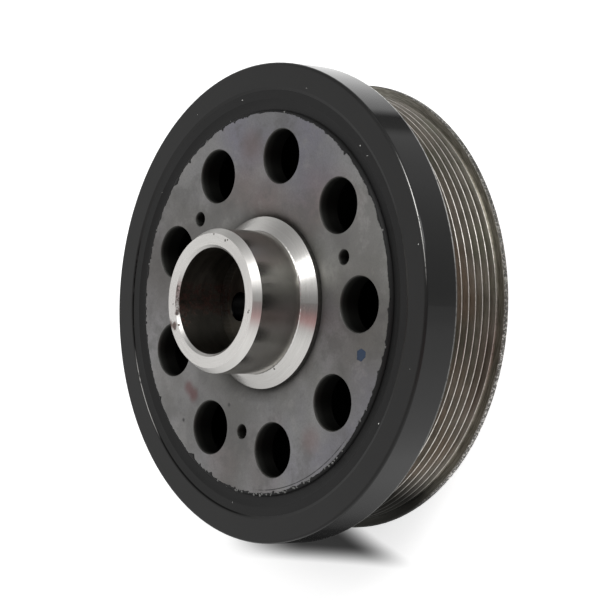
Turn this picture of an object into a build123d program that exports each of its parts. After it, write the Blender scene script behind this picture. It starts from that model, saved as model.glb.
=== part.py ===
from build123d import *
import math
import os

# Crankshaft pulley with a rubber-bonded vibration damper. It lies on its
# belt-side end: z = 0 is that end, and the nose that enters the engine
# points up. All lengths are millimetres.

# Belt track: ribbed grooves rolled into the rim
rib_pitch = 3.56
groove_count = 6
groove_angle = 40.0
crest_round = 0.3
root_round = 0.5
crest_diameter = 169.0
end_land = 1.28
front_land = 3.76
rim_wall = 3.15
rim_edge = 0.5

# Retaining flange at the belt-side end of the track
flange_diameter = 175.2
flange_thickness = 2.1
flange_edge = 0.35
flange_draft = 0.5

# Dished web that closes the pulley's belt side
dish_wall = 6.0
dish_recess = 3.0
dish_step = 5.0
dish_seat_width = 16.0
dish_slope_width = 8.0
dish_round = 3.0

# Damper: an inertia ring held on the hub by a bonded rubber band
damper_gap = 2.65
ring_width = 15.6
ring_wall = 10.5
ring_front_round = 1.2
ring_back_round = 0.5
ring_step_height = 0.4
ring_step_width = 1.2
rubber_wall = 8.4
rubber_dip = 0.9
rubber_dip_width = 5.0
rubber_dip_bow = 0.3
rubber_back_recess = 1.2
rubber_back_hollow = 1.6

# Hub web, its skirt and the shallow relief round the collar
hub_rim_diameter = 147.2
hub_rim_edge = 0.3
web_proud = 0.15
web_thickness = 9.0
skirt_wall = 5.0
web_round = 3.0
relief_depth = 2.75
relief_width = 7.4

# Nine round windows and three puller holes through the web
window_count = 9
window_diameter = 20.9
window_circle = 114.0
window_edge = 0.35
puller_count = 3
puller_diameter = 5.5
puller_circle = 101.6
puller_phase = 20.0
puller_edge = 0.3

# Nose with the seal track, and the collar at its foot with two slopes
nose_length = 24.7
nose_diameter = 55.0
lead_in_radial = 1.95
lead_in_axial = 3.05
collar_diameter = 66.4
collar_height = 2.95
collar_top_width = 2.2
collar_top_drop = 1.1
collar_bevel_drop = 2.5
collar_foot_round = 0.5

# Bore over the crankshaft's end, with an undercut at its floor
bore_diameter = 40.5
bore_depth = 25.6
bore_mouth = 1.0
undercut_width = 4.3
undercut_depth = 0.6

# Bolts through the bore's floor, and the recess for their heads
seat_bolt_count = 3
seat_bolt_diameter = 10.4
seat_bolt_circle = 26.4
seat_bolt_phase = 67.3
seat_bolt_edge = 0.5
seat_floor = 12.0
bolt_head_room = 23.6
recess_round = 2.0

# Boss and spigot that carry the pulley
spigot_wall = 5.0
shoulder_width = 3.0
spigot_proud = 1.0
spigot_edge = 0.8

# How far a hole's cutter runs past the faces that it opens
cutter_overrun = 1.0

# Radii that follow from the sizes above
half_angle = math.radians(groove_angle / 2)
flank_rise = (rib_pitch / 2 - (crest_round + root_round) * math.cos(half_angle)) / math.tan(half_angle)
groove_depth = flank_rise + (crest_round + root_round) * (1 - math.sin(half_angle))
crest_r = crest_diameter / 2
flange_r = flange_diameter / 2
rim_inner_r = crest_r - groove_depth - rim_wall
hub_rim_r = hub_rim_diameter / 2
skirt_inner_r = hub_rim_r - skirt_wall
ring_inner_r = hub_rim_r + rubber_wall
ring_r = ring_inner_r + ring_wall
nose_r = nose_diameter / 2
bore_r = bore_diameter / 2
collar_r = collar_diameter / 2
recess_r = (seat_bolt_circle + bolt_head_room) / 2
spigot_r = recess_r + spigot_wall
boss_r = spigot_r + shoulder_width
dish_seat_r = spigot_r + dish_seat_width
dish_low_r = dish_seat_r + dish_slope_width

# Heights that follow from the sizes above, from the belt-side end upwards
first_crest_z = flange_thickness + end_land
rim_front_z = first_crest_z + groove_count * rib_pitch + front_land
ring_back_z = rim_front_z + damper_gap
ring_front_z = ring_back_z + ring_width
web_front_z = ring_front_z + web_proud
web_back_z = web_front_z - web_thickness
tip_z = web_front_z + nose_length
collar_top_z = web_front_z + collar_height
floor_z = tip_z - bore_depth
bolt_seat_z = floor_z - seat_floor
dish_seat_z = dish_recess + dish_step
dish_seat_top_z = dish_seat_z + dish_wall
dish_low_top_z = dish_recess + dish_wall
spigot_end_z = dish_seat_z - spigot_proud
rubber_front_z = ring_front_z - ring_step_height
rubber_back_z = ring_back_z + rubber_back_recess


def turned(edges):
    """A solid of revolution from a closed outline of (radius, height) edges."""
    return revolve(Plane.XZ * make_face(edges), axis=Axis.Z)


def chain(points):
    """Straight edges from each (radius, height) point to the next."""
    return [Line(a, b) for a, b in zip(points, points[1:])]


def round_hole(radius, x, y, bottom, top, edge):
    """A hole's cutter with a small bevel where it opens at the top face."""
    height = top - bottom + 2 * cutter_overrun
    drill = Pos(x, y, (top + bottom) / 2) * Cylinder(radius, height)
    bevel_height = edge + cutter_overrun
    bevel = Pos(x, y, top - edge + bevel_height / 2) * Cone(radius, radius + bevel_height, bevel_height)
    return drill + bevel


def hole_circle(count, radius, circle, phase, bottom, top, edge):
    """Cutters for a circle of equal holes about the axis."""
    cutters = []
    for k in range(count):
        angle = math.radians(phase + 360.0 * k / count)
        x = circle / 2 * math.cos(angle)
        y = circle / 2 * math.sin(angle)
        cutters.append(round_hole(radius, x, y, bottom, top, edge))
    return cutters


def belt_track():
    """Edges of the grooved track, from the flange's foot to the rim's front land."""
    along = crest_round * math.cos(half_angle)
    drop = crest_round * (1 - math.sin(half_angle))
    root_along = root_round * math.cos(half_angle)
    root_rise = root_round * (1 - math.sin(half_angle))
    root_r = crest_r - groove_depth
    slant = (math.pi / 2 + half_angle) / 2
    slant_along = crest_round * math.cos(slant)
    slant_drop = crest_round * (1 - math.sin(slant))
    edges = [Line((crest_r, flange_thickness + flange_draft), (crest_r, first_crest_z))]
    for k in range(groove_count):
        crest_z = first_crest_z + k * rib_pitch
        root_z = crest_z + rib_pitch / 2
        next_z = crest_z + rib_pitch
        leave = (crest_r - drop, crest_z + along)
        meet = (root_r + root_rise, root_z - root_along)
        rise = (root_r + root_rise, root_z + root_along)
        arrive = (crest_r - drop, next_z - along)
        edges.append(ThreePointArc((crest_r, crest_z), (crest_r - slant_drop, crest_z + slant_along), leave))
        edges.append(Line(leave, meet))
        edges.append(ThreePointArc(meet, (root_r, root_z), rise))
        edges.append(Line(rise, arrive))
        edges.append(ThreePointArc(arrive, (crest_r - slant_drop, next_z - slant_along), (crest_r, next_z)))
    last_z = first_crest_z + groove_count * rib_pitch
    edges.append(Line((crest_r, last_z), (crest_r, rim_front_z - rim_edge)))
    return edges


def pulley():
    """The ribbed rim with its flange and the dished web that seats on the hub."""
    flange = chain([
        (rim_inner_r + rim_edge, 0),
        (flange_r - flange_edge, 0),
        (flange_r, flange_edge),
        (flange_r, flange_thickness - flange_edge),
        (flange_r - flange_edge, flange_thickness),
        (crest_r, flange_thickness + flange_draft),
    ])
    front = chain([
        (crest_r, rim_front_z - rim_edge),
        (crest_r - rim_edge, rim_front_z),
        (rim_inner_r, rim_front_z),
    ])
    upper = FilletPolyline(
        (rim_inner_r, rim_front_z),
        (rim_inner_r, dish_low_top_z),
        (dish_low_r, dish_low_top_z),
        (dish_seat_r, dish_seat_top_z),
        (spigot_r, dish_seat_top_z),
        radius=dish_round,
    )
    seat = Line((spigot_r, dish_seat_top_z), (spigot_r, dish_seat_z))
    lower = FilletPolyline(
        (spigot_r, dish_seat_z),
        (dish_seat_r, dish_seat_z),
        (dish_low_r, dish_recess),
        (rim_inner_r, dish_recess),
        radius=dish_round,
    )
    foot = chain([
        (rim_inner_r, dish_recess),
        (rim_inner_r, rim_edge),
        (rim_inner_r + rim_edge, 0),
    ])
    outline = flange + belt_track() + front + upper.edges() + [seat] + lower.edges() + foot
    return turned(outline)


def inertia_ring():
    """The heavy ring: rounded front and back edges and a stepped inner lip."""
    front_bow = ring_front_round * (1 - math.sqrt(0.5))
    back_bow = ring_back_round * (1 - math.sqrt(0.5))
    outline = chain([
        (ring_inner_r, rubber_front_z),
        (ring_inner_r, ring_back_z),
        (ring_r - ring_back_round, ring_back_z),
    ])
    outline.append(ThreePointArc(
        (ring_r - ring_back_round, ring_back_z),
        (ring_r - back_bow, ring_back_z + back_bow),
        (ring_r, ring_back_z + ring_back_round),
    ))
    outline.append(Line((ring_r, ring_back_z + ring_back_round), (ring_r, ring_front_z - ring_front_round)))
    outline.append(ThreePointArc(
        (ring_r, ring_front_z - ring_front_round),
        (ring_r - front_bow, ring_front_z - front_bow),
        (ring_r - ring_front_round, ring_front_z),
    ))
    outline += chain([
        (ring_r - ring_front_round, ring_front_z),
        (ring_inner_r + ring_step_width, ring_front_z),
        (ring_inner_r, rubber_front_z),
    ])
    return turned(outline)


def damper_rubber():
    """The bonded band: dips beside the hub's rim, hollow on the belt side."""
    dip_r = hub_rim_r + rubber_dip_width
    dip_z = rubber_front_z - rubber_dip
    dip_middle_z = (rubber_front_z + dip_z) / 2
    middle_r = (hub_rim_r + ring_inner_r) / 2
    outline = [
        Line((ring_inner_r, rubber_front_z), (dip_r, rubber_front_z)),
        ThreePointArc(
            (dip_r, rubber_front_z),
            ((dip_r + hub_rim_r) / 2, dip_middle_z - rubber_dip_bow),
            (hub_rim_r, dip_z),
        ),
        Line((hub_rim_r, dip_z), (hub_rim_r, rubber_back_z)),
        ThreePointArc(
            (hub_rim_r, rubber_back_z),
            (middle_r, rubber_back_z + rubber_back_hollow),
            (ring_inner_r, rubber_back_z),
        ),
        Line((ring_inner_r, rubber_back_z), (ring_inner_r, rubber_front_z)),
    ]
    return turned(outline)


def hub_nose_side():
    """Hub outline from the axis at the bore's floor to the foot of the collar."""
    collar_break = (nose_r + collar_top_width, collar_top_z - collar_top_drop)
    nose = chain([
        (0, floor_z),
        (bore_r + undercut_depth, floor_z),
        (bore_r + undercut_depth, floor_z + undercut_width - undercut_depth),
        (bore_r, floor_z + undercut_width),
        (bore_r, tip_z - bore_mouth),
        (bore_r + bore_mouth, tip_z),
        (nose_r - lead_in_radial, tip_z),
        (nose_r, tip_z - lead_in_axial),
        (nose_r, collar_top_z + collar_foot_round),
    ])
    foot = FilletPolyline(
        (nose_r, collar_top_z + collar_foot_round),
        (nose_r, collar_top_z),
        collar_break,
        radius=collar_foot_round,
    )
    collar = chain([
        collar_break,
        (collar_r, collar_break[1] - collar_bevel_drop),
        (collar_r, web_front_z - relief_depth),
    ])
    return nose + foot.edges() + collar


def hub_belt_side():
    """Hub outline from the web's rim round the skirt, boss and spigot to the axis."""
    rim = chain([
        (hub_rim_r - hub_rim_edge, web_front_z),
        (hub_rim_r, web_front_z - hub_rim_edge),
        (hub_rim_r, ring_back_z),
        (skirt_inner_r, ring_back_z),
    ])
    cavity = FilletPolyline(
        (skirt_inner_r, ring_back_z),
        (skirt_inner_r, web_back_z),
        (boss_r, web_back_z),
        (boss_r, dish_seat_top_z),
        radius=web_round,
    )
    spigot = chain([
        (boss_r, dish_seat_top_z),
        (spigot_r, dish_seat_top_z),
        (spigot_r, spigot_end_z + spigot_edge),
        (spigot_r - spigot_edge, spigot_end_z),
        (recess_r, spigot_end_z),
    ])
    recess = FilletPolyline(
        (recess_r, spigot_end_z),
        (recess_r, bolt_seat_z),
        (0, bolt_seat_z),
        radius=recess_round,
    )
    return rim + cavity.edges() + spigot + recess.edges()


def hub():
    """One turned piece: nose, collar, web with windows, skirt, boss and spigot."""
    # The relief rolls off from the web's face and falls steeper towards the collar
    relief_r = collar_r + relief_width
    relief_z = web_front_z - relief_depth
    relief_round = (relief_width**2 + relief_depth**2) / (2 * relief_depth)
    half_turn = math.asin(relief_width / relief_round) / 2
    middle_r = relief_r - relief_round * math.sin(half_turn)
    middle_z = web_front_z - relief_round * (1 - math.cos(half_turn))
    relief = ThreePointArc((collar_r, relief_z), (middle_r, middle_z), (relief_r, web_front_z))
    face = Line((relief_r, web_front_z), (hub_rim_r - hub_rim_edge, web_front_z))
    axis = Line((0, bolt_seat_z), (0, floor_z))
    body = turned(hub_nose_side() + [relief, face] + hub_belt_side() + [axis])
    windows = hole_circle(
        window_count, window_diameter / 2, window_circle, 0.0, web_back_z, web_front_z, window_edge
    )
    pullers = hole_circle(
        puller_count, puller_diameter / 2, puller_circle, puller_phase, web_back_z, web_front_z, puller_edge
    )
    bolts = hole_circle(
        seat_bolt_count, seat_bolt_diameter / 2, seat_bolt_circle, seat_bolt_phase,
        bolt_seat_z, floor_z, seat_bolt_edge
    )
    for cutter in windows + pullers + bolts:
        body -= cutter
    return body


pieces = {
    "hub": hub(),
    "damper_rubber": damper_rubber(),
    "inertia_ring": inertia_ring(),
    "pulley": pulley(),
}

os.makedirs("parts", exist_ok=True)
for name, piece in pieces.items():
    export_step(piece, f"parts/{name}.step")
    box = piece.bounding_box()
    print(f"{name}: {len(piece.solids())} solid, {piece.volume / 1000:.1f} cm3, top {box.max.Z:.2f}")
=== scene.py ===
import bpy
import math
import random
from mathutils import Matrix, Vector


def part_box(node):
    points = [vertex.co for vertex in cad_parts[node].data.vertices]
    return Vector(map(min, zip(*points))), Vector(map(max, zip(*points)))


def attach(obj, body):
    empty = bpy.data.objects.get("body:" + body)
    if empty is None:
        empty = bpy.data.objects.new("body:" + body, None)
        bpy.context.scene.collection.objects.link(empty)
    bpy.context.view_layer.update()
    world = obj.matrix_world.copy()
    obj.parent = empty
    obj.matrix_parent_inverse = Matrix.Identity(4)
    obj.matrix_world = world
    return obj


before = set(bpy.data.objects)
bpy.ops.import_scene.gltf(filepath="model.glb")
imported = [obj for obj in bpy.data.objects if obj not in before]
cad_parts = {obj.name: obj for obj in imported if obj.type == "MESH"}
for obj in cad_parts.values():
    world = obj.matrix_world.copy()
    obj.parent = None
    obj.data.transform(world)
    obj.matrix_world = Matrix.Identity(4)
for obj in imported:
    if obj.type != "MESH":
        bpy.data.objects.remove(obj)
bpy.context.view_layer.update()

# Sizes in metres, read from the frame or named as the photograph shows them
MM = 0.001
_, hub_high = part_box("hub")
ring_low, ring_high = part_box("inertia_ring")
_, pulley_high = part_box("pulley")
_, rubber_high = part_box("damper_rubber")
hub_rim_r = hub_high.x
ring_r = ring_high.x
ring_inner_r = rubber_high.x
ring_front_z = ring_high.z
ring_back_z = ring_low.z
web_front_z = ring_front_z + 0.15 * MM
web_back_z = web_front_z - 9.0 * MM
collar_foot_z = web_front_z - 2.7 * MM
collar_top_z = web_front_z + 2.95 * MM
tip_z = hub_high.z
nose_r = 27.5 * MM
bore_r = 20.25 * MM
bore_floor_z = tip_z - 25.6 * MM
bolt_seat_z = bore_floor_z - 12.0 * MM
bolts_outer_r = 18.9 * MM
hollow_inner_r = 25.5 * MM
hollow_low_z = 9.5 * MM
collar_r = 33.2 * MM
relief_shade_r = collar_r + 6.5 * MM
flat_web_r = collar_r + 8.2 * MM
scored_line_r = 71.9 * MM
seam_inner_r = 82.1 * MM
seam_outer_r = 82.7 * MM
crest_r = 84.5 * MM
rim_inner_r = 78.3 * MM
rim_inner_low_z = 3.5 * MM
flange_r = pulley_high.x
flange_top_z = 2.6 * MM
front_land_z = 27.6 * MM

# The camera in the part's frame, with the directions that its picture has for right, up and back
camera_place = Vector((0.7022, -0.0092, 0.6258))
camera_right = Vector((0.6490, 0.0304, -0.7602)).normalized()
camera_up = Vector((-0.0108, 0.9995, 0.0307)).normalized()
camera_back = camera_right.cross(camera_up).normalized()
lens_mm = 141.95
film_mm = 36.0


def polar(radius_mm, angle, height):
    """A point from its distance to the axis in mm, its angle in degrees and its height in metres."""
    turn = math.radians(angle)
    return Vector((radius_mm * MM * math.cos(turn), radius_mm * MM * math.sin(turn), height))


def grey(v):
    return (v, v, v, 1.0)


def rgb(r, g, b):
    return (r, g, b, 1.0)


# Painted shade: near-black colour laid on the hollows that no light comes out of
hollow_painted_shade = grey(0.004)


class Graph:
    """Small helper for building a node tree from plain expressions."""

    def __init__(self, owner):
        owner.use_nodes = True
        self.tree = owner.node_tree
        self.tree.nodes.clear()

    def node(self, kind, inputs=None, **settings):
        n = self.tree.nodes.new(kind)
        for name, value in settings.items():
            setattr(n, name, value)
        for name, value in (inputs or {}).items():
            self.feed(n.inputs[name], value)
        return n

    def feed(self, socket, value):
        if isinstance(value, bpy.types.NodeSocket):
            self.tree.links.new(value, socket)
        else:
            socket.default_value = value

    def math(self, op, a, b=0.0):
        return self.node("ShaderNodeMath", {0: a, 1: b}, operation=op).outputs[0]

    def add(self, a, b):
        return self.math("ADD", a, b)

    def sub(self, a, b):
        return self.math("SUBTRACT", a, b)

    def mul(self, a, *more):
        for b in more:
            a = self.math("MULTIPLY", a, b)
        return a

    def most(self, a, *more):
        for b in more:
            a = self.math("MAXIMUM", a, b)
        return a

    def step(self, x, low, high):
        """0 below low and 1 above high, smooth between. Works falling too, with low above high."""
        n = self.node("ShaderNodeMapRange", {0: x, 1: low, 2: high, 3: 0.0, 4: 1.0},
                      interpolation_type="SMOOTHSTEP")
        return n.outputs[0]

    def span(self, x, low, high, soft):
        """1 between low and high, 0 outside, with soft edges."""
        return self.mul(self.step(x, low - soft, low + soft), self.step(x, high + soft, high - soft))

    def mix(self, factor, a, b, blend="MIX"):
        """A colour that goes from a to b. The node's colours are its inputs 6 and 7 and its output 2."""
        n = self.node("ShaderNodeMix", data_type="RGBA", blend_type=blend)
        self.feed(n.inputs[0], factor)
        self.feed(n.inputs[6], a)
        self.feed(n.inputs[7], b)
        return n.outputs[2]

    def blend(self, factor, a, b):
        """A number that goes from a to b."""
        return self.node("ShaderNodeMix", {0: factor, 2: a, 3: b}, data_type="FLOAT").outputs[0]

    def coats(self, base, *coats):
        """A colour with coats laid over it in turn, each as (how much of it shows, colour)."""
        for amount, colour in coats:
            base = self.mix(amount, base, colour)
        return base

    def patches(self, pattern, low, high, amount):
        """How much of a coat shows where a pattern passes from low to high, up to an amount."""
        return self.mul(self.step(pattern, low, high), amount)

    def vector(self, x, y, z):
        return self.node("ShaderNodeCombineXYZ", {0: x, 1: y, 2: z}).outputs[0]

    def parts(self, vector):
        """The x, y and z of a vector."""
        return self.node("ShaderNodeSeparateXYZ", {0: vector}).outputs

    def noise(self, vector, scale, detail, rough, colour=False):
        n = self.node("ShaderNodeTexNoise", {
            "Vector": vector, "Scale": scale, "Detail": detail, "Roughness": rough,
        })
        return n.outputs[1 if colour else 0]

    def ramp(self, factor, stops):
        n = self.node("ShaderNodeValToRGB", {0: factor})
        points = n.color_ramp.elements
        while len(points) < len(stops):
            points.new(0.5)
        for point, (place, colour) in zip(points, stops):
            point.position = place
            point.color = (*colour, 1.0)
        return n.outputs[0]


class Turned(Graph):
    """A surface material's graph, with coordinates round the part's axis."""

    def __init__(self, name):
        self.material = bpy.data.materials.new(name)
        super().__init__(self.material)
        self.place = self.node("ShaderNodeTexCoord").outputs["Object"]
        x, y, self.z = self.parts(self.place)
        self.r = self.math("SQRT", self.add(self.mul(x, x), self.mul(y, y)))
        off_axis = self.most(self.r, 0.01 * MM)
        self.cos = self.math("DIVIDE", x, off_axis)
        self.sin = self.math("DIVIDE", y, off_axis)
        facing = self.node("ShaderNodeNewGeometry").outputs["Normal"]
        self.up = self.parts(facing)[2]
        self.fine = self.noise(self.place, scale=1500.0, detail=3.0, rough=0.65)
        self.ragged = self.noise(self.place, scale=420.0, detail=4.0, rough=0.7)

    def rings(self, across, along=3.0, detail=2.0):
        """Noise drawn out round the axis, as a turned or ground surface has."""
        lengthwise = self.mul(self.sub(self.r, self.z), across)
        spot = self.vector(self.mul(self.cos, along), self.mul(self.sin, along), lengthwise)
        return self.noise(spot, scale=1.0, detail=detail, rough=0.6)

    def sector(self, middle, half, soft=3.0):
        """1 within half degrees of the middle angle about the axis."""
        turn = math.radians(middle)
        toward = self.add(self.mul(self.cos, math.cos(turn)), self.mul(self.sin, math.sin(turn)))
        outer = math.cos(math.radians(half + soft))
        inner = math.cos(math.radians(max(half - soft, 0.0)))
        return self.step(toward, outer, inner)

    def spot(self, centre, size, soft=0.4, torn=0.6):
        """1 inside a ragged patch round a point."""
        n = self.node("ShaderNodeVectorMath", {0: self.place, 1: centre}, operation="DISTANCE")
        away = self.add(n.outputs["Value"], self.mul(self.sub(self.ragged, 0.5), 2 * torn * size))
        return self.step(away, size * (1 + soft), size * (1 - soft))

    def finish(self, inputs, height, distance, strength, tangent=False):
        """The material, with its height as a bump. With tangent, its shine is drawn out round the axis."""
        shader = self.node("ShaderNodeBsdfPrincipled", inputs)
        bump = self.node("ShaderNodeBump", {"Height": height, "Distance": distance, "Strength": strength})
        self.feed(shader.inputs["Normal"], bump.outputs[0])
        if tangent:
            direction = self.node("ShaderNodeTangent", direction_type="RADIAL", axis="Z")
            self.feed(shader.inputs["Tangent"], direction.outputs[0])
        self.node("ShaderNodeOutputMaterial", {"Surface": shader.outputs[0]})
        return self.material


def of_turn(degrees):
    """An angle from -180 to 180 degrees as a share of the whole turn."""
    return (degrees + 180) / 360


def by_angle(pairs):
    """Stops of a ramp over the whole turn from (degrees, brightness or colour)."""
    return [(of_turn(a), c if isinstance(c, tuple) else (c, c, c)) for a, c in pairs]


def studio_light(g, turn, tilt):
    """The studio's brightness, by the turn and tilt of the surface that mirrors it to the camera."""
    # Seen in surfaces that face sideways, by (degrees, brightness)
    level = g.ramp(turn, by_angle([
        (-180, 0.05), (-76, 0.02), (-69, 0.05), (-63, 0.19), (-57, 0.43), (-51, 0.69), (-45, 1.03),
        (-39, 1.3), (-30, 1.22), (-18, 1.15), (-6, 0.97), (0, 0.67), (3, 0.51), (12, 0.58), (21, 0.65),
        (30, 0.75), (44, 0.7), (46.5, 0.24), (51.5, 0.15), (52.6, 1.0), (55, 1.16), (60, 1.35), (66, 1.5),
        (72, 1.4), (78, 1.22), (84, 0.9), (180, 0.5),
    ]))
    # Seen in surfaces that face along the axis or partly along it, by (degrees, brightness or colour)
    raised = g.ramp(turn, by_angle([
        (-180, 0.72), (-100, 0.75), (-84, 0.8), (-68, 0.85), (-52, 0.93), (-36, 1.0), (-28, 0.95),
        (-20, 0.72), (-14, (0.56, 0.34, 0.34)), (-9, (0.4, 0.25, 0.25)), (-3, 0.22), (4, 0.34), (10, 0.62),
        (17, 0.98), (24, 1.15), (31, 1.2), (38, 0.85), (44, 0.66), (52, 0.5), (60, 0.44), (68, 0.42),
        (78, 0.55), (92, 0.78), (108, 0.75), (130, 0.72), (180, 0.75),
    ]))
    flat_gain = 1.08
    steep_gain = 0.78
    key_gain = 2.0
    band_gain = 3.8

    steep = g.step(tilt, 0.54, 0.8)
    flat = g.step(tilt, 0.93, 0.985)
    gain = g.blend(flat, g.blend(steep, 1.0, steep_gain), flat_gain)
    raised = g.mix(1.0, raised, g.vector(gain, gain, gain), "MULTIPLY")

    # A lamp that shows in bevels
    key_turn = g.span(turn, of_turn(20.0), of_turn(32.0), soft=4.0 / 360)
    key = g.mul(key_turn, g.sub(1.0, flat), g.step(tilt, 0.38, 0.6), key_gain)
    raised = g.mix(1.0, raised, g.vector(key, key, key), "ADD")

    seen = g.mix(g.step(tilt, 0.12, 0.34), level, raised)
    # A strip lamp that shows in surfaces that face only a little along the axis
    band_turn = g.span(turn, of_turn(14.0), of_turn(20.5), soft=1.5 / 360)
    band = g.mul(band_turn, g.span(tilt, 0.08, 0.4, soft=0.05), band_gain)
    return g.mix(1.0, seen, g.vector(band, band, band), "ADD")


def studio():
    """A white room: plain white to the camera, an even light on matt surfaces, and in the shine a
    brightness by direction that follows the reflections in the photograph."""
    world = bpy.data.worlds.new("studio")
    bpy.context.scene.world = world
    g = Graph(world)
    direction = g.node("ShaderNodeTexCoord").outputs["Generated"]
    halfway = g.node("ShaderNodeVectorMath", {0: direction, 1: camera_back}, operation="ADD").outputs[0]
    halfway = g.node("ShaderNodeVectorMath", {0: halfway}, operation="NORMALIZE").outputs[0]
    x, y, tilt = g.parts(halfway)
    turn = g.add(g.mul(g.math("ARCTAN2", y, x), 1 / math.tau), 0.5)

    even = g.node("ShaderNodeBackground", {"Color": grey(1.0), "Strength": 0.62})
    mirrored = g.node("ShaderNodeBackground", {"Color": studio_light(g, turn, tilt), "Strength": 1.0})
    white = g.node("ShaderNodeBackground", {"Color": grey(1.0), "Strength": 1.0})
    path = g.node("ShaderNodeLightPath").outputs
    shine = path["Is Glossy Ray"]
    looked_at = g.most(path["Is Camera Ray"], path["Is Transmission Ray"])
    lit = g.node("ShaderNodeMixShader", {0: shine, 1: even.outputs[0], 2: mirrored.outputs[0]})
    room = g.node("ShaderNodeMixShader", {0: looked_at, 1: lit.outputs[0], 2: white.outputs[0]})
    g.node("ShaderNodeOutputWorld", {"Surface": room.outputs[0]})


def floor_light(g):
    """How light the floor is: 1, less a soft shadow beside the ring's lowest edge in the photograph and
    a faint halo round it."""
    shadow_depth = 0.9
    halo_depth = 0.07
    place = g.node("ShaderNodeNewGeometry").outputs["Position"]
    x, y, _ = g.parts(place)
    near_edge = g.step(g.sub(y, g.mul(x, 0.05)), -104.0 * MM, -95.0 * MM)
    left_end = g.step(x, -80.0 * MM, -24.0 * MM)
    slant = g.add(x, g.mul(g.add(y, 97.0 * MM), 2.5))
    right_end = g.step(slant, 42.0 * MM, 8.0 * MM)
    far_edge = g.step(y, 0.0, -40.0 * MM)
    shadow = g.mul(near_edge, left_end, right_end, far_edge, shadow_depth)
    from_middle = g.vector(g.mul(g.add(x, 15.0 * MM), 0.4), g.add(y, 90.0 * MM), 0.0)
    away = g.node("ShaderNodeVectorMath", {0: from_middle}, operation="LENGTH").outputs["Value"]
    halo = g.mul(g.step(away, 30.0 * MM, 5.0 * MM), halo_depth)
    return g.sub(1.0, g.most(shadow, halo))


def floor():
    """A white floor that glows a little to the camera, so that it runs into the white room."""
    reach = 6.0
    corners = [(-reach, -reach, 0), (reach, -reach, 0), (reach, reach, 0), (-reach, reach, 0)]
    mesh = bpy.data.meshes.new("floor")
    mesh.from_pydata(corners, [], [(0, 1, 2, 3)])
    ground = bpy.data.objects.new("floor", mesh)
    bpy.context.scene.collection.objects.link(ground)
    material = bpy.data.materials.new("floor")
    g = Graph(material)
    light = floor_light(g)
    paper = g.node("ShaderNodeBsdfDiffuse", {"Color": g.mix(light, grey(0.0), grey(0.8))})
    glow = g.node("ShaderNodeEmission", {"Color": grey(1.0), "Strength": g.mul(light, light, 0.6)})
    lifted = g.node("ShaderNodeAddShader", {0: paper.outputs[0], 1: glow.outputs[0]})
    to_camera = g.node("ShaderNodeLightPath").outputs["Is Camera Ray"]
    shown = g.node("ShaderNodeMixShader", {0: to_camera, 1: paper.outputs[0], 2: lifted.outputs[0]})
    g.node("ShaderNodeOutputMaterial", {"Surface": shown.outputs[0]})
    mesh.materials.append(material)
    ground.visible_glossy = False


def lamp(name, place, target, size, power):
    light = bpy.data.lights.new(name, "AREA")
    light.shape = "DISK"
    light.size = size
    light.energy = power
    item = bpy.data.objects.new(name, light)
    item.location = place
    item.rotation_euler = (Vector(target) - Vector(place)).to_track_quat("-Z", "Y").to_euler()
    item.visible_glossy = False
    bpy.context.scene.collection.objects.link(item)


def camera():
    data = bpy.data.cameras.new("camera")
    data.sensor_width = film_mm
    data.lens = lens_mm
    data.clip_start = 0.01
    data.clip_end = 50.0
    item = bpy.data.objects.new("camera", data)
    turn = Matrix((camera_right, camera_back.cross(camera_right), camera_back)).transposed().to_4x4()
    item.matrix_world = Matrix.Translation(camera_place) @ turn
    bpy.context.scene.collection.objects.link(item)
    bpy.context.scene.camera = item
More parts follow.
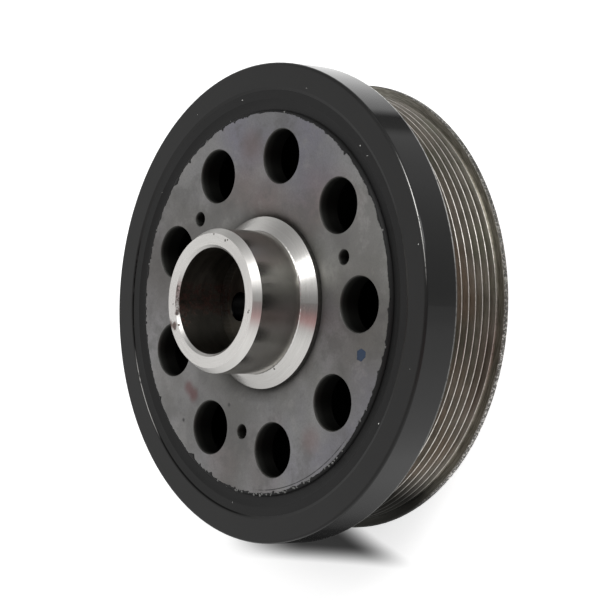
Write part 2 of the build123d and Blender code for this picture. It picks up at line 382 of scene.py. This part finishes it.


# Hub: bright turned nose and collar, ground seal track, dull mottled web, a dark bore with a painted light
# streak on one side, and painted shade in the windows and hollows
def web_colour(g):
    """Cloudy tints from heat and old oil, mottling, a few stains and a scored line near the rim."""
    dull = rgb(0.2, 0.197, 0.19)
    pale = rgb(0.305, 0.302, 0.305)
    violet = rgb(0.21, 0.20, 0.27)
    brown = rgb(0.27, 0.2, 0.19)
    olive = rgb(0.215, 0.225, 0.19)
    dark_mottle = rgb(0.16, 0.158, 0.155)
    light_mottle = rgb(0.33, 0.325, 0.315)
    dark_grain = rgb(0.15, 0.148, 0.145)
    relief_shade = rgb(0.08, 0.078, 0.07)
    cloud = g.noise(g.place, scale=22.0, detail=4.0, rough=0.55)
    blotch = g.noise(g.place, scale=75.0, detail=5.0, rough=0.65)
    tint = g.noise(g.place, scale=13.0, detail=3.0, rough=0.5, colour=True)
    tints = g.node("ShaderNodeSeparateColor", {0: tint}).outputs
    web = g.coats(
        g.mix(g.step(cloud, 0.35, 0.65), dull, pale),
        (g.patches(tints[0], 0.5, 0.68, 0.55), violet),
        (g.patches(tints[1], 0.52, 0.7, 0.5), brown),
        (g.patches(tints[2], 0.5, 0.7, 0.45), olive),
        (g.patches(blotch, 0.5, 0.66, 0.55), dark_mottle),
        (g.patches(blotch, 0.48, 0.32, 0.5), light_mottle),
        (g.patches(g.fine, 0.35, 0.75, 0.25), dark_grain),
        (g.patches(g.r, relief_shade_r, collar_r, 0.45), relief_shade),
    )

    dried_oil = rgb(0.155, 0.08, 0.08)
    faint_rust = rgb(0.25, 0.17, 0.16)
    faint_brown = rgb(0.2, 0.15, 0.14)
    # Radius in mm, angle in degrees, size in mm, colour, how much of it shows
    stains = [
        (54.2, -137, 2.6, dried_oil, 0.75),
        (55.0, -141.5, 2.4, dried_oil, 0.7),
        (60.2, -58, 4.5, faint_rust, 0.4),
        (61.8, 98, 5.5, faint_brown, 0.45),
        (65.8, -134, 0.7, grey(0.06), 0.9),
        (43.6, -113, 0.7, grey(0.08), 0.8),
    ]
    for radius, angle, size, colour, amount in stains:
        patch = g.spot(polar(radius, angle, web_front_z), size * MM, soft=0.7, torn=0.3)
        web = g.mix(g.mul(patch, amount), web, colour)
    line = g.span(g.r, scored_line_r - 0.15 * MM, scored_line_r + 0.2 * MM, soft=0.12 * MM)
    scored = g.mul(line, g.sector(middle=-66, half=22), g.step(g.ragged, 0.3, 0.5))
    return g.mix(g.mul(scored, 0.85), web, grey(0.03))


def window_walls(g):
    """Where the walls of the windows and puller holes are, and their shade, which is black deep down."""
    on_flat_web = g.step(g.r, flat_web_r, flat_web_r + 0.2 * MM)
    within_rim = g.step(g.r, hub_rim_r - 1.0 * MM, hub_rim_r - 1.4 * MM)
    below_face = g.step(g.z, web_front_z - 0.02 * MM, web_front_z - 0.08 * MM)
    depth = g.math("DIVIDE", g.sub(web_front_z, g.z), 4.0 * MM)
    shade = g.ramp(depth, [
        (0.0, (0.15, 0.15, 0.14)), (0.12, (0.09, 0.09, 0.085)),
        (0.36, (0.035, 0.035, 0.032)), (1.0, (0.012, 0.012, 0.011)),
    ])
    return g.mul(on_flat_web, within_rim, below_face), shade


def hub_hollows(g):
    """Everything behind the web, which gets painted shade so that the windows show black."""
    behind_web = g.step(g.z, web_back_z + 0.3 * MM, web_back_z + 0.1 * MM)
    above_dish = g.step(g.z, hollow_low_z, hollow_low_z + 1.0 * MM)
    round_boss = g.step(g.r, hollow_inner_r, hollow_inner_r + 0.5 * MM)
    return g.mul(behind_web, above_dish, round_boss)


def bolt_holes(g):
    """The walls of the bolt holes in the bore's floor, which get painted shade."""
    within_bore = g.step(g.r, bolts_outer_r + 0.3 * MM, bolts_outer_r)
    below_floor = g.step(g.z, bore_floor_z - 0.02 * MM, bore_floor_z - 0.06 * MM)
    above_seat = g.step(g.z, bolt_seat_z, bolt_seat_z + 0.5 * MM)
    return g.mul(within_bore, below_floor, above_seat)


def nose_rust(g):
    """Rust at the bore's mouth, and chips of it on the lead-in bevel and down the bore."""
    mouth = g.span(g.r, bore_r - 0.35 * MM, bore_r + 1.05 * MM, soft=0.15 * MM)
    mouth = g.mul(mouth, g.sector(middle=178, half=17), g.step(g.ragged, 0.42, 0.56))
    rust = g.mul(mouth, 0.75)
    # Radius in mm, angle in degrees, depth below the tip in mm, size in mm
    chips = [
        (23.6, -155, 0.0, 1.6), (26.1, -158, 1.0, 2.0), (20.9, -166, 0.0, 0.9), (21.0, -153, 0.0, 0.5),
        (20.25, -158, 2.2, 0.9), (20.25, -164, 3.6, 0.7), (20.25, -152, 3.2, 0.6), (20.25, -156, 5.0, 0.5),
    ]
    for radius, angle, depth, size in chips:
        chip = g.spot(polar(radius, angle, tip_z - depth * MM), size * MM)
        rust = g.most(rust, g.mul(chip, 0.85))
    return rust


def nose_nicks(g):
    """Small dark nicks in the nose's rim and in the collar."""
    # Radius in mm, angle in degrees, height in metres, size in mm
    nicks = [
        (25.2, 87, tip_z, 0.35), (24.2, 70, tip_z, 0.45), (24.9, 67, tip_z, 0.35), (23.5, -10, tip_z, 0.4),
        (23.9, -8, tip_z, 0.3), (22.7, -176, tip_z, 0.3), (28.2, -63, 49.5 * MM, 0.4),
        (31.0, -50, 48.2 * MM, 0.3),
    ]
    nicked = 0.0
    for radius, angle, height, size in nicks:
        nicked = g.most(nicked, g.spot(polar(radius, angle, height), size * MM))
    return nicked


def bore_colour(g):
    """Very dark steel with turning marks, and a painted light streak on one side."""
    darkest_steel = rgb(0.045, 0.039, 0.031)
    worn = rgb(0.105, 0.094, 0.078)
    marks = rgb(0.15, 0.135, 0.115)
    painted_light_streak = rgb(0.2, 0.19, 0.165)
    return g.coats(
        g.mix(g.step(g.rings(across=260.0, along=1.5), 0.3, 0.7), darkest_steel, worn),
        (g.mul(g.rings(across=1400.0, along=2.0), 0.3), marks),
        # Painted light: a lighter streak down one side of the bore.
        (g.mul(g.sector(middle=-150, half=22, soft=8.0), 0.35), painted_light_streak),
    )


def hub_steel():
    g = Turned("hub_steel")
    sideways = g.step(g.math("ABSOLUTE", g.up), 0.3, 0.15)
    above_web = g.step(g.z, collar_foot_z, collar_foot_z + 0.2 * MM)
    machined = g.mul(above_web, g.step(g.r, collar_r + 0.1 * MM, collar_r - 0.1 * MM))
    on_collar = g.step(g.r, collar_r - 0.6 * MM, collar_r - 0.3 * MM)
    collar_wall = g.mul(machined, sideways, on_collar)
    on_nose = g.step(g.r, nose_r - 0.6 * MM, nose_r - 0.3 * MM)
    above_collar = g.step(g.z, collar_top_z - 1.0 * MM, collar_top_z - 0.6 * MM)
    track = g.mul(sideways, machined, on_nose, above_collar)
    below_tip = g.step(g.z, tip_z - 0.9 * MM, tip_z - 1.2 * MM)
    inside = g.mul(g.step(g.r, bore_r + 0.9 * MM, bore_r + 0.5 * MM), below_tip)
    lead_in = g.mul(machined, g.step(g.z, tip_z - 3.5 * MM, tip_z - 3.1 * MM), g.step(g.up, 0.97, 0.9))
    wall, wall_shade = window_walls(g)
    cavity = hub_hollows(g)
    rusty = nose_rust(g)
    nicked = nose_nicks(g)

    turned_steel = g.mix(g.rings(across=1500.0), rgb(0.66, 0.645, 0.62), rgb(0.80, 0.785, 0.76))
    ground_steel = g.mix(g.rings(across=2500.0, along=6.0), rgb(0.42, 0.41, 0.38), rgb(0.64, 0.62, 0.58))
    red_rust = rgb(0.13, 0.06, 0.048)
    black_rust = rgb(0.045, 0.03, 0.026)
    rust = g.mix(g.step(g.fine, 0.4, 0.6), red_rust, black_rust)
    shaded_steel = rgb(0.12, 0.12, 0.11)
    nick_colour = rgb(0.05, 0.045, 0.04)
    colour = g.coats(
        web_colour(g),
        (machined, turned_steel),
        (collar_wall, shaded_steel),
        (track, ground_steel),
        (inside, bore_colour(g)),
        (rusty, rust),
        (g.mul(nicked, 0.85), nick_colour),
        (wall, wall_shade),
        # Painted shade: the hollows behind the web and the bolt holes' walls are made near black.
        (g.most(cavity, bolt_holes(g)), hollow_painted_shade),
    )

    web_rough = g.blend(g.fine, 0.42, 0.55)
    turned_rough = g.blend(g.rings(across=1500.0), 0.14, 0.24)
    rough = g.blend(machined, web_rough, turned_rough)
    for where, value in [(lead_in, 0.33), (track, 0.2), (inside, 0.4), (g.most(rusty, wall, cavity), 0.7)]:
        rough = g.blend(where, rough, value)
    grooves = g.mul(g.rings(across=4000.0, along=2.0), machined, 0.5)
    grain = g.mul(g.fine, g.sub(1.0, machined), 0.5)
    pits = g.mul(g.most(nicked, rusty), 1.5)
    height = g.sub(g.add(grooves, grain), pits)
    return g.finish({
        "Base Color": colour, "Roughness": rough, "Metallic": 1.0,
        "Anisotropic": 0.7, "Anisotropic Rotation": 0.25,
    }, height, distance=0.04 * MM, strength=0.5, tangent=True)


# Pulley: worn crests, dull olive grooves, a rough flange edge made brighter on one side as painted light,
# painted shade on one side, and a dark inside in painted shade
def groove_colour(g, streak):
    """Dull steel with warm and olive patches, dirt in streaks, and a reddish tint low on one side."""
    dull = rgb(0.29, 0.275, 0.24)
    pale = rgb(0.43, 0.395, 0.355)
    brown = rgb(0.37, 0.29, 0.23)
    green = rgb(0.3, 0.31, 0.24)
    dirt = rgb(0.16, 0.14, 0.115)
    bright_grain = rgb(0.5, 0.48, 0.44)
    reddish_tint = rgb(0.26, 0.19, 0.165)
    cloud = g.noise(g.place, scale=45.0, detail=4.0, rough=0.6)
    warm = g.noise(g.place, scale=26.0, detail=3.0, rough=0.55)
    reddish = g.mul(g.sector(middle=-17, half=10, soft=6.0), g.step(g.z, 11.0 * MM, 7.0 * MM), 0.3)
    return g.coats(
        g.mix(g.step(cloud, 0.35, 0.65), dull, pale),
        (g.patches(warm, 0.52, 0.64, 0.5), brown),
        (g.patches(warm, 0.5, 0.38, 0.5), green),
        (g.patches(streak, 0.45, 0.7, 0.5), dirt),
        (g.patches(g.fine, 0.55, 0.75, 0.35), bright_grain),
        (reddish, reddish_tint),
    )


def pulley_steel():
    worn_bright = rgb(0.74, 0.71, 0.66)
    olive_dark = rgb(0.2, 0.19, 0.16)
    olive_light = rgb(0.38, 0.36, 0.31)
    pit_black = rgb(0.1, 0.096, 0.088)
    bare_dull = rgb(0.5, 0.485, 0.45)
    bare_edge_painted_light = rgb(0.78, 0.76, 0.72)
    painted_shade_black = rgb(0.02, 0.02, 0.018)
    g = Turned("pulley_steel")
    streak = g.rings(across=2200.0, along=14.0, detail=3.0)
    crest = g.mul(
        g.step(g.r, crest_r - 0.16 * MM, crest_r - 0.05 * MM),
        g.step(g.z, flange_top_z - 0.4 * MM, flange_top_z),
        g.blend(g.step(g.ragged, 0.35, 0.6), 0.45, 1.0),
        g.step(g.z, front_land_z, front_land_z - 2.0 * MM),
    )
    flange = g.step(g.z, flange_top_z + 0.15 * MM, flange_top_z)
    olive = g.mix(g.step(streak, 0.35, 0.65), olive_dark, olive_light)
    edge = g.mul(
        g.step(g.r, flange_r - 0.5 * MM, flange_r - 0.15 * MM),
        g.step(g.z, flange_top_z, flange_top_z - 0.2 * MM),
    )
    speckle = g.step(g.noise(g.place, scale=1100.0, detail=3.0, rough=0.8), 0.48, 0.64)
    # Bare rough edge, made brighter on one side as painted light.
    bare_edge_with_painted_light = g.mix(g.sector(middle=-32, half=27, soft=10.0), bare_dull, bare_edge_painted_light)
    # Painted shade: the inside of the rim, where no light reaches, is made near black.
    within = g.mul(
        g.step(g.r, rim_inner_r + 0.3 * MM, rim_inner_r),
        g.step(g.up, -0.5, -0.3),
        g.step(g.z, rim_inner_low_z, rim_inner_low_z + 1.0 * MM),
    )
    colour = g.coats(
        groove_colour(g, streak),
        (crest, worn_bright),
        (flange, olive),
        (edge, g.mix(speckle, pit_black, bare_edge_with_painted_light)),
        # Painted shade: one side of the pulley made near black.
        (g.mul(g.sector(middle=-81, half=26, soft=8.0), 0.96), painted_shade_black),
        (within, hollow_painted_shade),
    )
    rough = g.blend(crest, g.blend(g.fine, 0.35, 0.55), 0.28)
    rough = g.blend(within, rough, 0.8)
    height = g.add(g.add(g.mul(g.fine, 0.6), g.mul(streak, 0.5)), g.mul(edge, speckle, 2.0))
    return g.finish({
        "Base Color": colour, "Roughness": rough, "Metallic": 1.0,
    }, height, distance=0.06 * MM, strength=0.6)


# Ring and rubber: thin black coating worn through along its back edge, painted highlights along its edges
# and inner step, painted shade at the step by the rubber, and matt black rubber
def painted_step_shade(g):
    """Painted shade in the seam between the ring's step and the rubber, on one side and in patches, where
    the photograph shows it black. It is fed to Metallic, because a metal with a near-black colour has no
    shine."""
    seam = g.span(g.r, seam_inner_r, seam_outer_r, soft=0.15 * MM)
    seam = g.mul(seam, g.step(g.z, ring_front_z - 1.2 * MM, ring_front_z - 0.9 * MM))
    patchy = g.mul(g.sector(middle=180, half=15, soft=5.0), g.step(g.ragged, 0.3, 0.5))
    return g.mul(seam, g.most(g.sector(middle=-118, half=23, soft=6.0), patchy))


def bare_edges_and_highlights(g):
    """How much bare-metal colour shows: a painted highlight along the ring's front edge, worn coating along
    its back edge with a painted highlight on one side, and a painted reflection on a patch of its inner
    step.
    """
    speck = g.noise(g.place, scale=1000.0, detail=3.0, rough=0.7)
    # Painted highlight: bare-metal colour on the front edge, only where the lamp's glint falls.
    front = g.mul(
        g.step(g.r, ring_r - 1.0 * MM, ring_r - 0.75 * MM),
        g.step(g.z, ring_front_z - 0.95 * MM, ring_front_z - 0.75 * MM),
        g.span(g.up, 0.58, 0.72, soft=0.06),
        g.sector(middle=21, half=9, soft=8.0),
        g.step(speck, 0.33, 0.46),
    )
    # Worn coating on the back edge, strongest on one side as a painted highlight.
    back = g.mul(
        g.step(g.r, ring_r - 0.4 * MM, ring_r - 0.2 * MM),
        g.step(g.z, ring_back_z + 0.95 * MM, ring_back_z + 0.75 * MM),
        g.step(speck, 0.3, 0.5),
        g.blend(g.sector(middle=45, half=32, soft=8.0), 0.3, 1.0),
    )
    # Painted reflection: a light streak on a patch of the inner step.
    step_reflection = g.mul(
        g.span(g.r, ring_inner_r + 0.45 * MM, ring_inner_r + 0.75 * MM, soft=0.12 * MM),
        g.step(g.z, ring_front_z - 1.0 * MM, ring_front_z - 0.6 * MM),
        g.sector(middle=-152, half=10, soft=5.0),
        g.step(g.rings(across=300.0, along=25.0), 0.3, 0.5),
    )
    return g.most(front, g.mul(back, 0.8), g.mul(step_reflection, 0.6))


def ring_coat():
    g = Turned("black_coat")
    cloud = g.noise(g.place, scale=60.0, detail=3.0, rough=0.5)
    coating = g.mix(cloud, rgb(0.004, 0.004, 0.0038), rgb(0.007, 0.007, 0.0067))
    # Bare iron colour, used for worn coating and for painted highlights.
    bare_iron_and_highlight = rgb(0.62, 0.61, 0.59)
    bare = bare_edges_and_highlights(g)
    round_side = g.step(g.math("ABSOLUTE", g.up), 0.5, 0.2)
    rough = g.blend(round_side, g.blend(g.fine, 0.3, 0.42), g.blend(g.fine, 0.05, 0.08))
    # The painted shade at the step by the rubber goes in through Metallic.
    return g.finish({
        "Base Color": g.mix(bare, coating, bare_iron_and_highlight), "Roughness": g.blend(bare, rough, 0.3),
        "Specular IOR Level": 0.35, "Metallic": g.most(g.mul(bare, 0.9), painted_step_shade(g)),
    }, g.mul(g.fine, g.sub(1.0, round_side)), distance=0.02 * MM, strength=0.4)


def rubber():
    g = Turned("bonded_rubber")
    cloud = g.noise(g.place, scale=60.0, detail=3.0, rough=0.5)
    # The painted shade at the step by the ring goes in through Metallic.
    return g.finish({
        "Base Color": g.mix(cloud, grey(0.005), grey(0.008)), "Roughness": g.blend(g.fine, 0.38, 0.52),
        "Specular IOR Level": 0.25, "Metallic": painted_step_shade(g),
    }, g.fine, distance=0.03 * MM, strength=0.5)


def plain(name, colour, rough):
    """A simple finish for a small piece, with some grain in its colour."""
    spread = 0.15
    g = Turned(name)
    low = rgb(*[c * (1 - spread) for c in colour])
    high = rgb(*[c * (1 + spread) for c in colour])
    return g.finish({
        "Base Color": g.mix(g.ragged, low, high), "Roughness": g.blend(g.fine, rough * 0.85, rough * 1.1),
    }, g.fine, distance=0.02 * MM, strength=0.5)


# Small pieces that the scene adds
def piece(name, points, faces, under, material, slot):
    """A small closed mesh that rides on the part. Its hidden underside stays flat, so that it leaves the
    shading of the smooth faces above alone."""
    mesh = bpy.data.meshes.new(name)
    mesh.from_pydata(points, [], faces + under)
    for face in mesh.polygons:
        face.use_smooth = face.index < len(faces)
    mesh.materials.append(material)
    item = bpy.data.objects.new(name, mesh)
    bpy.context.scene.collection.objects.link(item)
    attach(item, "root")


class Ragged:
    """A repeatable uneven wave round the axis, between about -1 and 1."""

    def __init__(self, seed, lowest, highest, count):
        chance = random.Random(seed)
        self.waves = [
            (chance.randint(lowest, highest), chance.uniform(0, math.tau), chance.uniform(0.4, 1.0))
            for k in range(count)
        ]
        self.whole = sum(size for turns, start, size in self.waves) * 0.5

    def at(self, degrees):
        turn = math.radians(degrees)
        return sum(size * math.sin(turns * turn + start) for turns, start, size in self.waves) / self.whole


def apart(angle, middle):
    """Degrees between two directions."""
    return abs((angle - middle + 180) % 360 - 180)


def flash_reach(angle, coarse, torn):
    """How far in mm the lip of rubber creeps over the hub's rim at an angle."""
    # Angle in degrees, half width in degrees, extra reach in mm
    tongues = [
        (122, 1.6, 0.7), (139, 1.8, 1.0), (34, 1.2, 0.8), (-25, 1.4, 0.5), (-72, 2.0, 0.7),
        (-123, 1.6, 1.1), (61, 1.0, 0.6), (170, 3.0, 0.4), (-112, 1.0, 0.6), (52, 1.4, 0.5),
    ]
    # Angle and half width in degrees of the stretches where little rubber is left
    bare = [(86, 8.0), (-50, 14.0)]
    usual = 0.45
    swell = 0.35 * coarse.at(angle)
    jags = 0.8 * max(torn.at(angle), 0.0) ** 2
    fringe = 0.18 * torn.at(angle * 2 + 40)
    reach = usual + swell + jags + fringe
    for middle, half, extra in tongues:
        off = apart(angle, middle)
        if off < half:
            reach += extra * (1 - off / half) ** 0.5
    for middle, half in bare:
        reach *= 1 - 0.75 * max(0.0, 1 - apart(angle, middle) / half)
    return reach


def flash_lip(material):
    """The thin torn lip of rubber that creeps over the hub's rim all round."""
    count = 1440
    coarse = Ragged(seed=3, lowest=9, highest=60, count=8)
    torn = Ragged(seed=8, lowest=55, highest=230, count=12)
    rim = hub_rim_r / MM
    points = []
    for k in range(count):
        angle = 360.0 * k / count
        inner = rim - flash_reach(angle, coarse, torn)
        # Radius in mm and height above the web's face in mm, from the torn edge out and down
        profile = [
            (inner, 0.01), (inner + 0.06, 0.07), (rim - 0.05, 0.1 + 0.03 * torn.at(angle + 7)),
            (rim + 0.35, -0.25), (rim + 0.75, -1.1), (rim + 0.9, -1.7),
        ]
        points += [polar(radius, angle, web_front_z + height * MM) for radius, height in profile]
    faces = []
    under = []
    rows = len(profile)
    for k in range(count):
        a = k * rows
        b = (k + 1) % count * rows
        faces += [(a + j, a + j + 1, b + j + 1, b + j) for j in range(rows - 1)]
        under.append((a + rows - 1, a, b, b + rows - 1))
    piece("rubber_flash", points, faces, under, material, "bonded_rubber")


def dome_faces(sides):
    """Faces of a dome: its top point, two rings of corners outward, and a bottom point that closes it."""
    after = [(k + 1) % sides for k in range(sides)]
    bottom = 1 + 2 * sides
    top = [(0, 1 + k, 1 + after[k]) for k in range(sides)]
    slope = [(1 + k, 1 + sides + k, 1 + sides + after[k], 1 + after[k]) for k in range(sides)]
    under = [(bottom, 1 + sides + after[k], 1 + sides + k) for k in range(sides)]
    return top + slope, under


def blob(chance, centre, size, height, sides=9):
    """Points and faces of one small domed flake with an uneven outline."""
    points = [centre + Vector((0, 0, height))]
    # Each ring's share of the size, and its level as a share of the height
    for ring, level in ((0.55, 0.75), (1.0, -0.5)):
        for k in range(sides):
            turn = math.tau * k / sides
            reach = size * ring * chance.uniform(0.7, 1.25)
            points.append(centre + Vector((reach * math.cos(turn), reach * math.sin(turn), height * level)))
    points.append(centre + Vector((0, 0, -height)))
    return points, *dome_faces(sides)


def scatter(name, seed, places, material, slot):
    """Small flakes at (radius mm, degrees, height, size mm) as one piece."""
    chance = random.Random(seed)
    points = []
    faces = []
    under = []
    for radius, angle, height, size in places:
        more, above, below = blob(chance, polar(radius, angle, height), size * MM, size * 0.35 * MM)
        faces += [tuple(i + len(points) for i in face) for face in above]
        under += [tuple(i + len(points) for i in face) for face in below]
        points += more
    piece(name, points, faces, under, material, slot)


def dust(material):
    """White specks on the ring's and rubber's faces."""
    # Radius in mm, angle in degrees, depth below the ring's face in mm, size in mm
    specks = [
        (80.3, 101, 0.4, 0.3), (79.8, 47, 0.4, 0.3), (79.9, 43, 0.4, 0.22), (81.3, -32, 0.4, 0.32),
        (90.2, 14, 0.0, 0.25), (78.7, 146, 0.45, 0.22), (84.6, 74, 0.0, 0.16), (88.0, -15, 0.0, 0.14),
        (86.0, 120, 0.0, 0.14), (79.0, -100, 0.4, 0.15),
    ]
    places = [(radius, angle, ring_front_z - depth * MM, size) for radius, angle, depth, size in specks]
    scatter("dust", seed=5, places=places, material=material, slot="black_coat")


def crumbs(material):
    """Torn grey crumbs along the lip of rubber, most of them low on the right."""
    count = 80
    seed = 12
    height = web_front_z + 0.06 * MM
    chance = random.Random(seed)
    places = []
    for k in range(count):
        angle = chance.choice([chance.gauss(-50, 20), chance.gauss(-80, 12), chance.uniform(-180, 180)])
        radius = chance.uniform(72.9, 74.0)
        size = chance.uniform(0.12, 0.6)
        places.append((radius, angle, height, size))
    scatter("crumbs", seed=6, places=places, material=material, slot="bonded_rubber")


def corner_reach(corners, turn):
    """Distance from the middle to a straight-sided outline, given by corners of (reach, degrees)."""
    first_reach, first_angle = corners[0]
    if turn < first_angle:
        turn += 360
    following = corners[1:] + [(first_reach, first_angle + 360)]
    for (reach, start), (next_reach, end) in zip(corners, following):
        if turn <= end:
            part = math.radians(turn - start)
            rest = math.radians(end - turn)
            return reach * next_reach * math.sin(part + rest) / (
                reach * math.sin(part) + next_reach * math.sin(rest)
            )


def paint_mark(material):
    """The blue dab of inspection paint on the web."""
    sides = 48
    seed = 4
    centre = polar(61.9, -17.4, web_front_z)
    # Corners of the dab as distance from its middle in mm and angle in degrees
    corners = [(2.8, 27.5), (2.55, 90), (2.95, 147.5), (3.05, 216), (2.55, 270), (2.6, 344.5)]
    chance = random.Random(seed)
    points = [centre + Vector((0, 0, 0.07 * MM))]
    # Each ring's share of the reach, and its height in mm
    for ring, height in ((0.8, 0.06), (1.0, -0.02)):
        for k in range(sides):
            angle = 360.0 * k / sides
            reach = corner_reach(corners, angle) * ring * chance.uniform(0.96, 1.04)
            points.append(centre + polar(reach, angle, height * MM))
    points.append(centre - Vector((0, 0, 0.06 * MM)))
    piece("paint_mark", points, *dome_faces(sides), material, "black_coat")


def dress(node, material):
    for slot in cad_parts[node].material_slots:
        slot.material = material


camera()
studio()
floor()
lamp("key", place=(0.5, 0.6, 0.7), target=(0, 0, 0.03), size=0.6, power=6.0)
rubber_black = rubber()
dress("hub", hub_steel())
dress("pulley", pulley_steel())
dress("inertia_ring", ring_coat())
dress("damper_rubber", rubber_black)
flash_lip(rubber_black)
dust(plain("dust", colour=(0.75, 0.75, 0.72), rough=0.8))
crumbs(plain("crumbs", colour=(0.15, 0.15, 0.145), rough=0.7))
paint_mark(plain("blue_paint", colour=(0.014, 0.03, 0.062), rough=0.6))

scene = bpy.context.scene
scene.view_settings.view_transform = "Standard"
